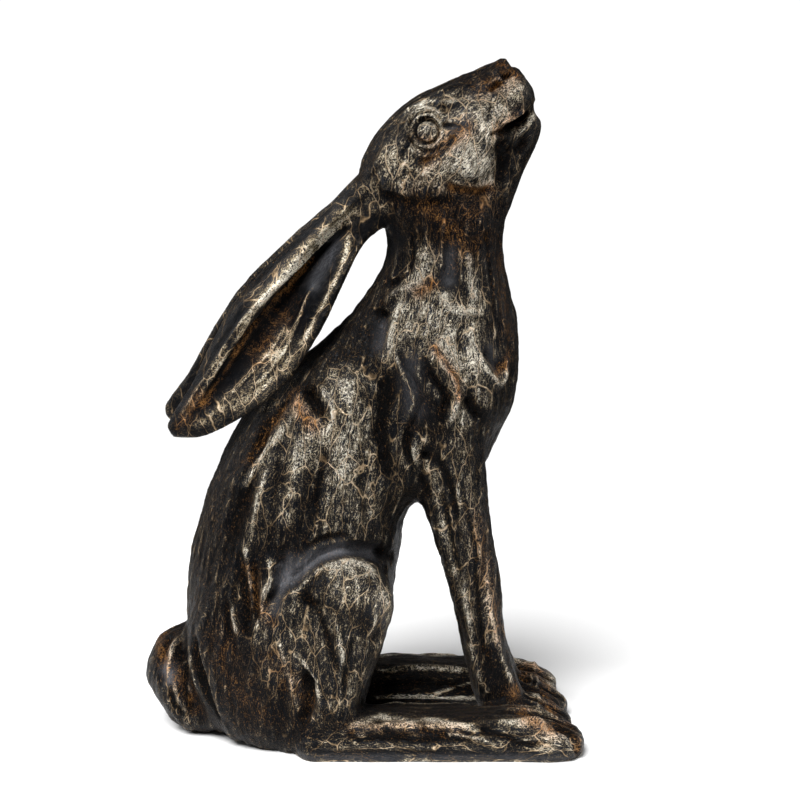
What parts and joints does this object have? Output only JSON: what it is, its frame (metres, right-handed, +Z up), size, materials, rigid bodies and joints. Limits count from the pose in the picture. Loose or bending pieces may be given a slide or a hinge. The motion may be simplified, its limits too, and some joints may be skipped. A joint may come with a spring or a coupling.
{
  "type": "hare sculpture",
  "caption": "Sitting hare sculpture with its head raised to the sky, long ears laid back on the shoulders, in dark bronze-finished resin.",
  "frame": {"origin": "middle of the bounding box on the floor that the feet and rump stand on", "axes": "+X the way the hare faces, +Y to the hare's left, +Z up from the floor to the nose"},
  "size_m": [0.2607, 0.1325, 0.399],
  "materials": {
    "patinated_resin": "cast resin painted blackened bronze and dry-brushed with pale gold, copper in the hollows, satin"
  },
  "bodies": {
    "root": {"hare": "patinated_resin"}
  },
  "joints": []
}
